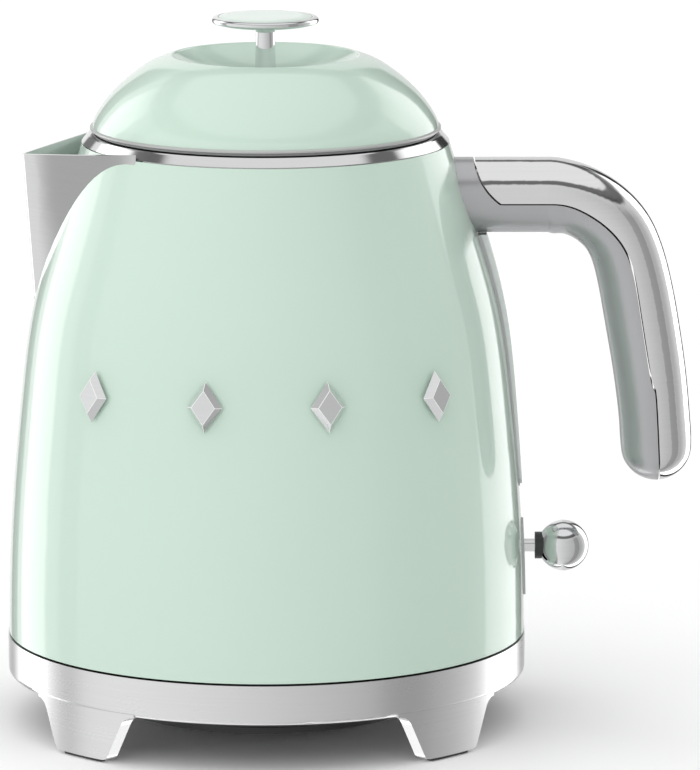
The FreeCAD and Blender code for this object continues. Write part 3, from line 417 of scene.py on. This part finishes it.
# %% Turn the knob and its disc
dish_low, dish_high = [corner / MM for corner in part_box("knob_disc")]
dish_r, low, high = dish_high.x, dish_low.z, dish_high.z
disc_low, disc_high = [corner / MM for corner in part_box("knob_inset")]
disc_r = disc_high.x
turn("knob_dish", rounded([(0, low, 0), (dish_r - 3, low, 1.5), (dish_r, low + 0.9, 1.2),
                           (dish_r - 0.1, high - 0.45, 0.8), (dish_r - 1.1, high, 0.6),
                           (disc_r + 0.06, high, 0.25), (disc_r + 0.06, disc_low.z, 0), (0, disc_low.z, 0)]),
     FINISHES["chrome"], "lid", "knob_disc")
turn("knob_enamel_disc", rounded([(0, disc_low.z, 0), (disc_r, disc_low.z, 0),
                                  (disc_r, disc_high.z - 0.35, 0.3),
                                  (disc_r - 2.0, disc_high.z - 0.08, 1.5), (0, disc_high.z, 0)]),
     FINISHES["mint_paint"], "lid", "knob_inset")

# %% [markdown]
# ## The ball on the lever
# The ball is turned about the lever's own axis, which lies along x. It is made upright like the
# rest, then its points are laid over, so the object itself stays unturned at the origin.

# %% Turn the ball
ball_low, ball_high = [Vector(corner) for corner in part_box("lever_ball")]
ball_mid = (ball_low + ball_high) / 2
ball_r = (ball_high.z - ball_low.z) / 2 / MM
ball_points = [(ball_r * math.sin(math.pi * n / 60), -ball_r * math.cos(math.pi * n / 60)) for n in range(61)]
ball = run_tree("lever_knob_ball", outline_mesh("lever_knob_ball", ball_points), turning,
                {"Steps": 120, "Finish": FINISHES["chrome"]})
ball.data.transform(Matrix.Translation(Vector((ball_high.x - ball_r * MM, ball_mid.y, ball_mid.z)))
                    @ Matrix.Rotation(math.pi / 2, 4, "Y"))
tidy(ball)
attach(ball, "lever")
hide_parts("lever_ball")
print("ball:", round(ball_r * 2, 1), "mm across")

# %% [markdown]
# ## Studs on the front
# Four lozenge studs sit in a row on the belly. One stud is a cone with four sides and its top cut
# off, stretched taller than wide. Placing four copies by hand would work, but a tree that puts one
# on each point, turned to face outwards by the point's own bearing, keeps them alike and square to
# the curve whatever the angles are. The heights come from the solid that they replace.

# %% The stud tree
STUD_BEARINGS = (-42.6, -13.3, 14.9, 43.3)
STUD_HALF_WIDTH, STUD_HALF_HEIGHT = 5.4 * MM, 7.6 * MM
STUD_PROUD = 1.1 * MM
BELLY_LEAN = math.radians(7.1)

studding, tree, wires = start_tree("studs_on_belly", [("Half width", "NodeSocketFloat"),
                                                      ("Half height", "NodeSocketFloat"),
                                                      ("Thickness", "NodeSocketFloat"),
                                                      ("Finish", "NodeSocketMaterial")])
blank = tree.node("GeometryNodeMeshCone", {}, {"Vertices": 4, "Radius Top": 0.66, "Radius Bottom": 1.0,
                                              "Depth": 1.0})
shape = tree.node("ShaderNodeCombineXYZ", {}, {"X": wires["Half width"], "Y": wires["Half height"],
                                              "Z": wires["Thickness"]})
stud = tree.node("GeometryNodeTransform", {}, {"Geometry": blank, "Scale": shape})
point = tree.node("GeometryNodeInputPosition")
flat = tree.node("ShaderNodeSeparateXYZ", {}, {0: point}).socket.node
bearing_here = tree.sum("ARCTAN2", Wire(tree, flat.outputs["X"]), 0 - Wire(tree, flat.outputs["Y"]))
turned = tree.node("ShaderNodeCombineXYZ", {}, {"X": math.pi / 2 - BELLY_LEAN, "Z": bearing_here})
facing = tree.node("FunctionNodeEulerToRotation", {}, {0: turned})
row_of_studs = tree.node("GeometryNodeInstanceOnPoints", {}, {"Points": wires["Outline"], "Instance": stud,
                                                            "Rotation": facing})
end_tree(studding, tree, row_of_studs, wires["Finish"])

# %% Set the studs
studs_low, studs_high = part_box("front_studs")
stud_z = (studs_low[2] + studs_high[2]) / 2
belly_r = -studs_low[1] / math.cos(math.radians(min(abs(b) for b in STUD_BEARINGS))) - STUD_PROUD
points_mesh = bpy.data.meshes.new("belly_studs")
points_mesh.from_pydata([(belly_r * math.sin(math.radians(b)), -belly_r * math.cos(math.radians(b)), stud_z)
                         for b in STUD_BEARINGS], [], [])
belly_studs = run_tree("belly_studs", points_mesh, studding,
                       {"Half width": STUD_HALF_WIDTH, "Half height": STUD_HALF_HEIGHT,
                        "Thickness": STUD_PROUD * 2, "Finish": FINISHES["chrome"]})
work = bmesh.new()
work.from_mesh(belly_studs.data)
bmesh.ops.remove_doubles(work, verts=work.verts, dist=1e-6)
bmesh.ops.bevel(work, geom=list(work.edges), offset=0.12 * MM, segments=2, affect="EDGES", profile=0.5)
work.to_mesh(belly_studs.data)
work.free()
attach(belly_studs, "jug")
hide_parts("front_studs")
print("studs:", len(STUD_BEARINGS), "at", round(stud_z / MM, 1), "mm high")

# %% [markdown]
# ## Floor and light
# The floor is a plain pale sheet, large enough that its edge never shows. A wide, soft sun from
# the upper left does the modelling: it makes the left of the body lighter than the right. The
# rest of the studio is the world itself, drawn as tall white screens and dark gaps between them,
# which cost nothing to render and stay where they are when the camera walks round. A black strip
# under the ceiling draws the dark line on polished metal. Metal looks past the floor into that
# studio, because a white floor in every reflection would wash it out.

# %% Lay the floor
FLOOR_SIZE = 9.0
FLOOR_Z = -0.0002                       # a hair under the feet, so that they never share a plane
floor_mesh = bpy.data.meshes.new("studio_floor")
half = FLOOR_SIZE / 2
floor_mesh.from_pydata([(-half, -half, FLOOR_Z), (half, -half, FLOOR_Z), (half, half, FLOOR_Z),
                        (-half, half, FLOOR_Z)], [], [(0, 1, 2, 3)])
floor = bpy.data.objects.new("studio_floor", floor_mesh)
bpy.context.scene.collection.objects.link(floor)
paper = Finish("floor_paper", (0.93, 0.93, 0.93), Specular_IOR_Level=0.1)
paper.vary_roughness(paper.noise(3.0, 2.0), 0.85, 0.95)
in_mirror = paper.node("ShaderNodeLightPath", out="Is Glossy Ray")
nothing = paper.node("ShaderNodeBsdfTransparent")
sheet = Wire(paper, paper.shader.outputs[0])
laid = paper.node("ShaderNodeMixShader", {}, {0: in_mirror, 1: sheet, 2: nothing})
paper.feed(paper.output.inputs["Surface"], laid)
floor_mesh.materials.append(paper.material)

# %% Hang the sun
SUN_STRENGTH = 1.35
SUN_SPREAD = math.radians(110)
SUN_FROM = Vector((-0.40, -0.50, 1.0))
sun_data = bpy.data.lights.new("key_light", "SUN")
sun_data.energy = SUN_STRENGTH
sun_data.angle = SUN_SPREAD
sun = bpy.data.objects.new("key_light", sun_data)
sun.rotation_mode = "QUATERNION"
sun.rotation_quaternion = SUN_FROM.to_track_quat("Z", "Y")
sun.visible_glossy = False
bpy.context.scene.collection.objects.link(sun)

# %% Draw the studio in the world
world = bpy.data.worlds.new("studio")
bpy.context.scene.world = world
world.use_nodes = True
studio = Tree(world.node_tree)
world.node_tree.nodes.clear()
direction = studio.node("ShaderNodeTexCoord", out="Generated")
xyz = studio.node("ShaderNodeSeparateXYZ", {}, {0: direction}).socket.node
east, north, up = (Wire(studio, xyz.outputs[n]) for n in range(3))
bearing = studio.sum("ARCTAN2", east, 0 - north) * (180 / math.pi)


def ease(value, start, end):
    return studio.node("ShaderNodeMapRange", {"interpolation_type": "SMOOTHSTEP"},
                       {"Value": value, "From Min": start, "From Max": end})


def screen(start, end, edge=3.0):
    """One between two bearings, nought elsewhere, in degrees from the front towards the right."""
    return ease(bearing, start - edge, start) * (1 - ease(bearing, end, end + edge))


LEFT_WALL, RIGHT_WALL = 0.98, 0.52
WALL_FADE, BACK_FADE = (-70, 80), (84, 112)     # bearings between which the wall's tone changes
CEILING = 0.80
CEILING_FADE = (0.45, 0.75)
DARK_BAND = (0.60, 0.66, 0.76, 0.82)    # heights where a black strip hangs, from edge to edge
BAND_GAIN, ABOVE_BAND = 0.62, 0.95
SCREENS = ((-140, -118, 1.25), (117, 148, 1.20))
GAPS = ((-160, -150, 0.75), (152, 162, 0.75), (54, 76, 0.16), (-104, -94, 0.45))
level = LEFT_WALL + ease(bearing, *WALL_FADE) * (RIGHT_WALL - LEFT_WALL)
level = level + ease(bearing, *BACK_FADE) * (CEILING - RIGHT_WALL)
top = ease(up, *CEILING_FADE)
for start, end, gain in SCREENS:
    level = level + screen(start, end) * gain
for start, end, gain in GAPS:
    level = level - screen(start, end) * gain
level = level + top * (CEILING - level)
band = ease(up, DARK_BAND[0], DARK_BAND[1]) * (1 - ease(up, DARK_BAND[2], DARK_BAND[3]))
above = ease(up, DARK_BAND[2], DARK_BAND[3])
level = level - band * BAND_GAIN
level = level + above * (ABOVE_BAND - level)
seen = studio.node("ShaderNodeLightPath", out="Is Camera Ray")
level = level + seen * (1 - level)
shade = studio.node("ShaderNodeCombineColor", {}, {0: level, 1: level, 2: level})
glow = studio.node("ShaderNodeBackground", {}, {"Color": shade, "Strength": 1.0})
world_out = world.node_tree.nodes.new("ShaderNodeOutputWorld")
studio.links.new(glow.socket, world_out.inputs["Surface"])
print("studio:", len(SCREENS), "screens and", len(GAPS), "gaps")
